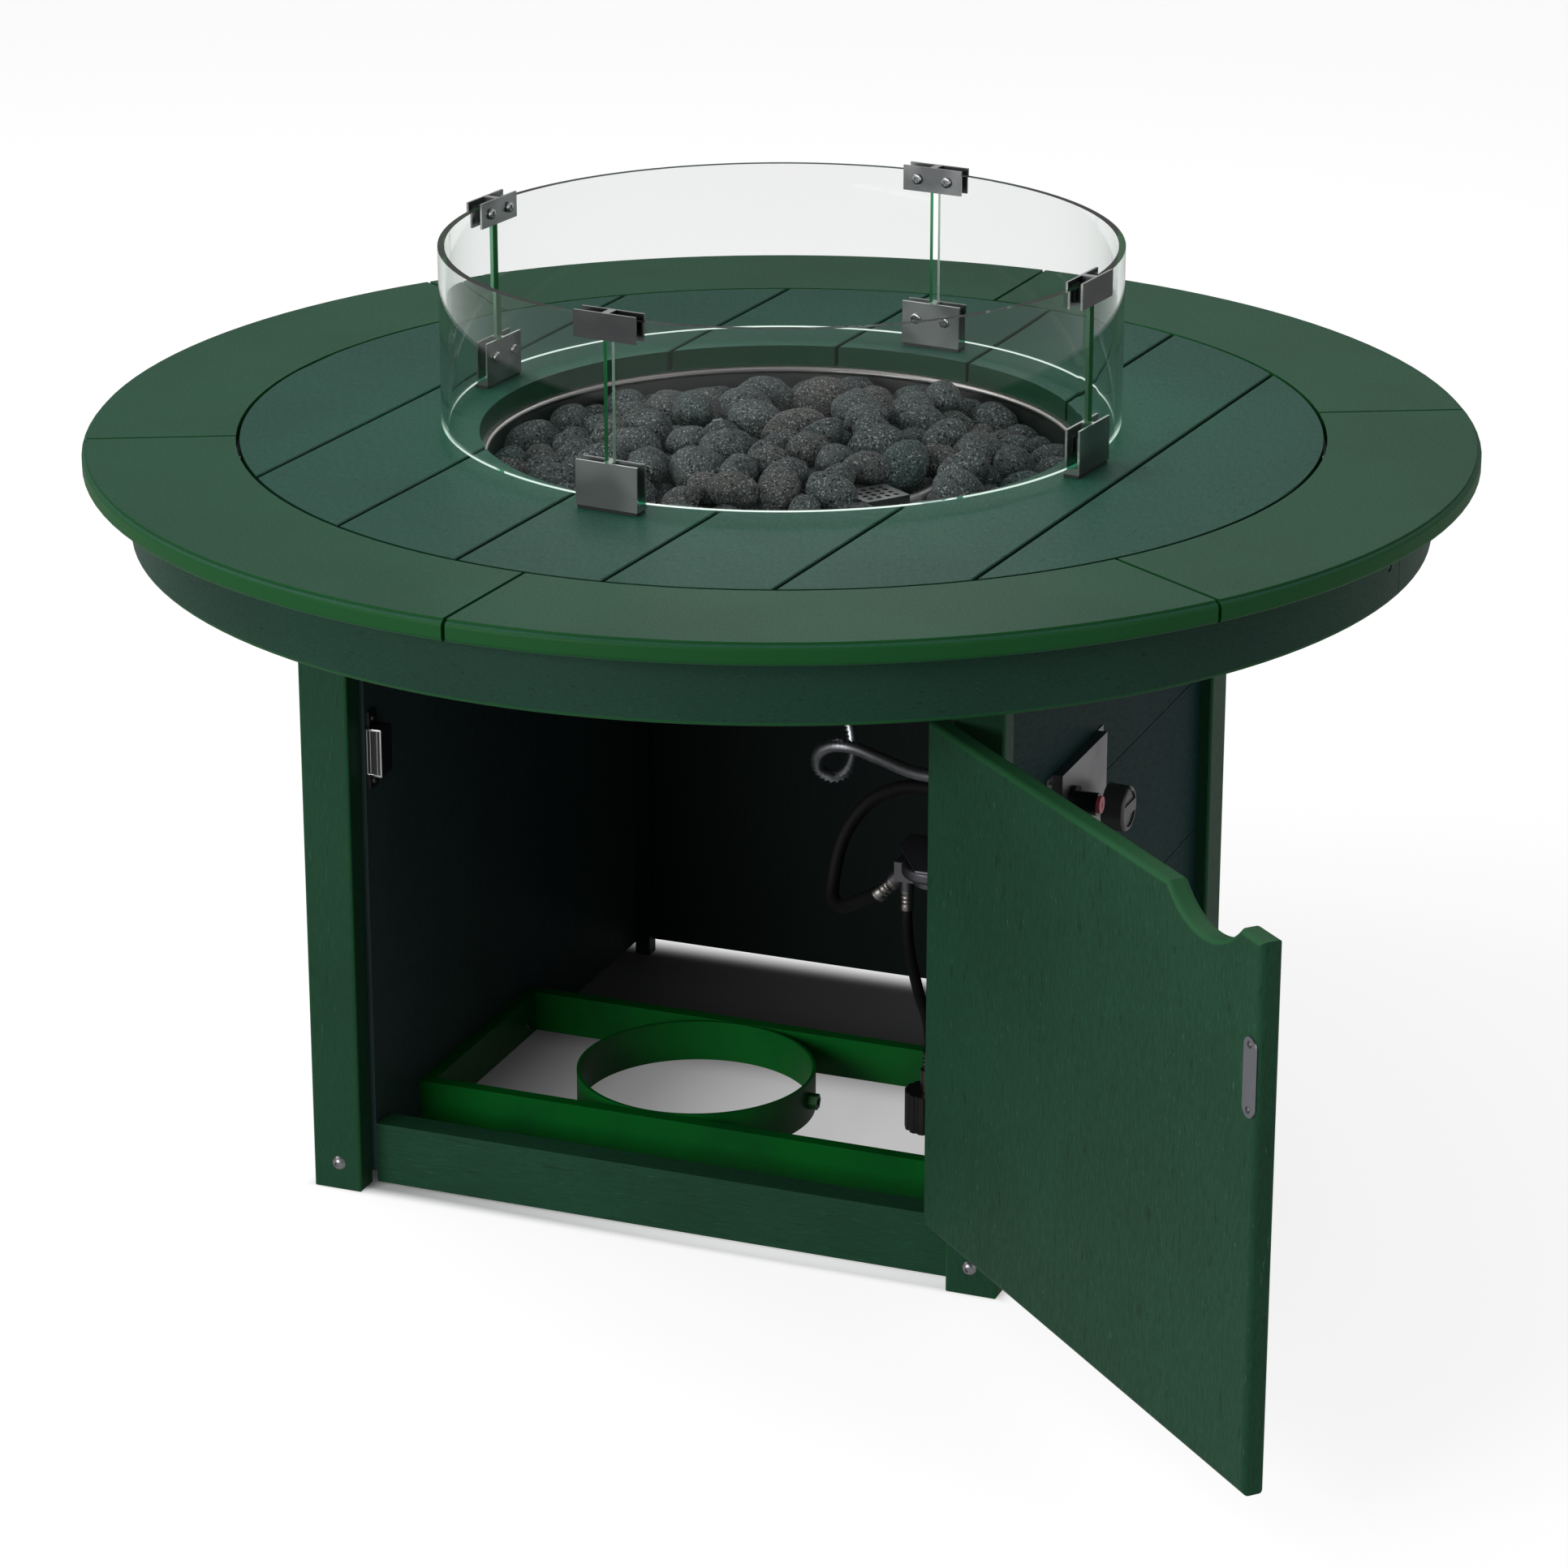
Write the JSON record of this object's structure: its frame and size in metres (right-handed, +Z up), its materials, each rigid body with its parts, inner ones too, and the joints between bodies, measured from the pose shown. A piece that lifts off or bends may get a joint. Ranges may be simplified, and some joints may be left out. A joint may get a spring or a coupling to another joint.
{
  "type": "gas fire pit",
  "caption": "Round outdoor fire table with a slatted disc top, glass wind guard, lava stones and a square cabinet with a hinged door for a gas cylinder.",
  "frame": {"origin": "on the table's axis at floor level, between the four posts", "axes": "+Z up, the door faces -Y, the gas controls are on the +X side"},
  "size_m": [1.2697, 1.313, 0.82],
  "materials": {
    "top_board": "fine grained recycled board",
    "cabinet_board": "fine grained recycled board",
    "door_board": "fine grained recycled board",
    "dark_screw": "dull",
    "green_steel": "gloss",
    "hinge_steel": "brushed",
    "bright_screw": "polished",
    "black_plastic": "matte",
    "brushed_panel": "brushed",
    "knob_metal": "satin",
    "fitting_metal": "satin",
    "igniter_plastic": "gloss",
    "button_plastic": "gloss",
    "cast_metal": "cast",
    "bracket_steel": "satin",
    "flex_steel": "bright",
    "hose_rubber": "matte",
    "wheel_plastic": "matte",
    "pan_steel": "brushed",
    "burner_steel": "satin",
    "shroud_steel": "satin",
    "ceramic": "glazed",
    "lava": "rough porous stone",
    "guard_glass": "clear",
    "clip_steel": "brushed",
    "clip_rubber": "matte"
  },
  "bodies": {
    "cabinet": {"rim_boards": "top_board", "top_plank_1": "top_board", "top_plank_2": "top_board", "top_plank_3": "top_board", "top_plank_4": "top_board", "top_plank_5": "top_board", "top_plank_6": "top_board", "top_plank_7": "top_board", "battens": "cabinet_board", "apron_front": "cabinet_board", "apron_back": "cabinet_board", "apron_splice_blocks": "cabinet_board", "apron_screws": "dark_screw", "front_post_left": "cabinet_board", "front_post_right": "cabinet_board", "rear_post_left": "cabinet_board", "rear_post_right": "cabinet_board", "side_boards_left": "cabinet_board", "side_boards_right": "cabinet_board", "inner_panel_left": "cabinet_board", "inner_panel_right": "cabinet_board", "rear_panel": "cabinet_board", "rear_corner_cleats": "cabinet_board", "bottom_rail": "cabinet_board", "top_rail": "cabinet_board", "hinge_post_leaves": "hinge_steel", "hinge_pins": "hinge_steel", "door_catch": "black_plastic", "cabinet_screws": "bright_screw", "post_bolts": "dark_screw", "tank_frame": "green_steel", "tank_ring": "green_steel", "control_box": "brushed_panel", "gas_valve": "fitting_metal", "igniter_body": "igniter_plastic", "regulator": "cast_metal", "regulator_bracket": "bracket_steel", "flex_hose": "flex_steel", "gas_hose": "hose_rubber", "pigtail_hose": "hose_rubber", "coupling_nipple": "fitting_metal", "burner_pan": "pan_steel", "burner_ring": "burner_steel", "burner_inlet": "fitting_metal", "igniter_shroud": "shroud_steel", "igniter_electrode": "ceramic", "lava_stones": "lava"},
    "door": {"door": "door_board", "hinge_door_leaves": "hinge_steel", "strike_plate": "hinge_steel", "strike_screws": "bright_screw"},
    "valve_stem": {"valve_stem": "fitting_metal"},
    "gas_knob": {"gas_knob": "knob_metal"},
    "igniter_button": {"igniter_button": "button_plastic"},
    "wind_guard": {"glass_panels": "guard_glass", "upper_clips": "clip_steel", "lower_clips": "clip_steel", "clip_screws": "bright_screw", "clip_rubbers": "clip_rubber"},
    "coupling_handwheel": {"coupling_handwheel": "wheel_plastic"}
  },
  "joints": [
    {"name": "door_hinge", "type": "hinge", "parent": "cabinet", "child": "door", "pos_m": [0.2715, -0.3185, 0.29], "axis": [0, 0, 1], "range_deg": [-136.75, 43.25]},
    {"name": "knob_push", "type": "slide", "parent": "cabinet", "child": "valve_stem", "axis": [-1, 0, 0], "range_m": [0, 0.003], "stiffness_N_per_m": 400, "springref_m": -0.003},
    {"name": "knob_turn", "type": "hinge", "parent": "valve_stem", "child": "gas_knob", "pos_m": [0.34, -0.07, 0.361], "axis": [1, 0, 0], "range_deg": [0, 90]},
    {"name": "igniter_push", "type": "slide", "parent": "cabinet", "child": "igniter_button", "axis": [-1, 0, 0], "range_m": [0, 0.004], "stiffness_N_per_m": 400, "springref_m": -0.003},
    {"name": "guard_lift", "type": "slide", "parent": "cabinet", "child": "wind_guard", "axis": [0, 0, 1], "range_m": [0, 0.2]},
    {"name": "coupling_spin", "type": "hinge", "parent": "cabinet", "child": "coupling_handwheel", "pos_m": [0.162, -0.05, 0.042], "axis": [0, 0, 1], "continuous": true}
  ]
}
